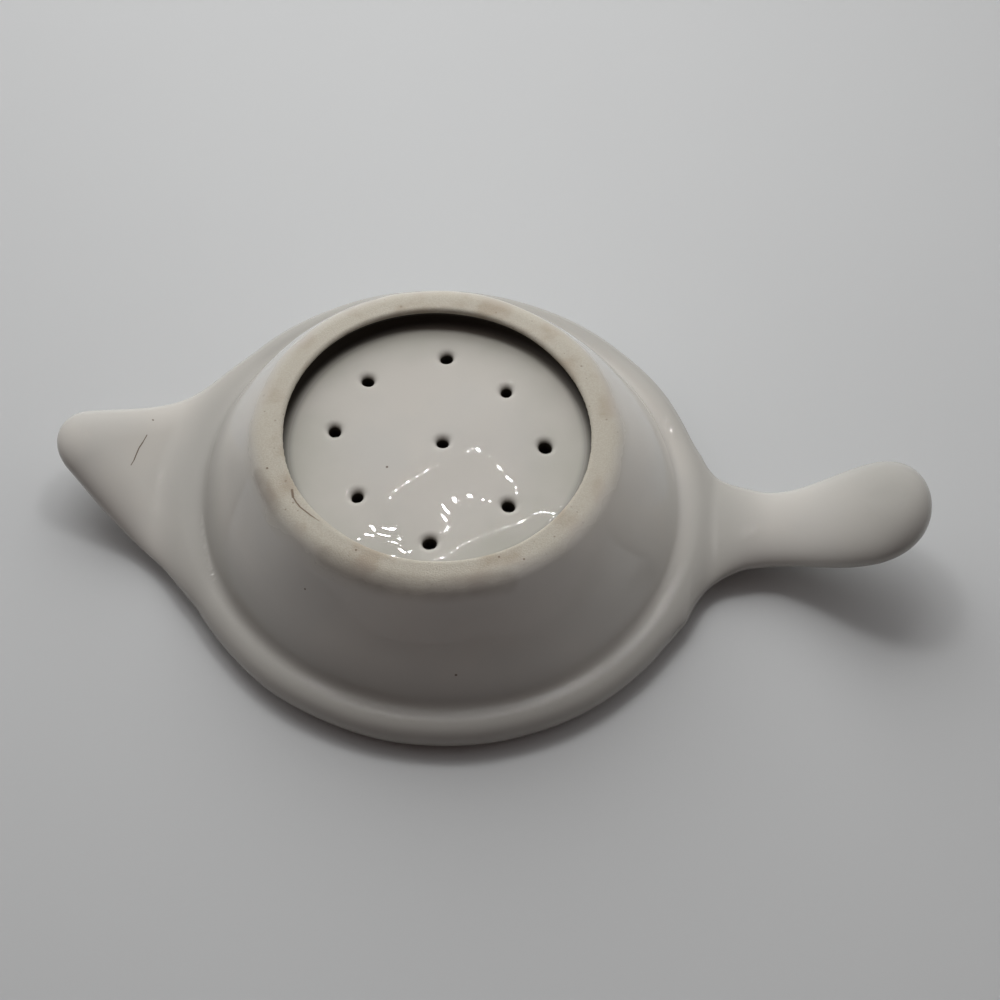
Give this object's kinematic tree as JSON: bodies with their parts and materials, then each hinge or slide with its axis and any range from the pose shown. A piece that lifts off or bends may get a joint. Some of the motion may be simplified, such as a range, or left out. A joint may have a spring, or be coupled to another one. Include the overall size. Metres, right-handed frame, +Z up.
{
  "type": "tea strainer",
  "caption": "Hand-formed glazed ceramic tea strainer lying on its beaded rim, with a pierced floor inside an unglazed foot ring, a paddle handle and a pointed lip tab.",
  "frame": {"origin": "middle of the length and width at table level, under the bead that the strainer lies on", "axes": "+X along the handle, away from the lip tab; +Z up through the foot ring, because the strainer is stored upside down as pictured"},
  "size_m": [0.1285, 0.0822, 0.0214],
  "materials": {
    "glaze": "gloss",
    "bisque": "matte"
  },
  "bodies": {
    "root": {"bowl_wall": "glaze", "rim_bead": "glaze", "foot_ring": "bisque", "strainer_floor": "glaze", "handle": "glaze", "lip_tab": "glaze"}
  },
  "joints": []
}
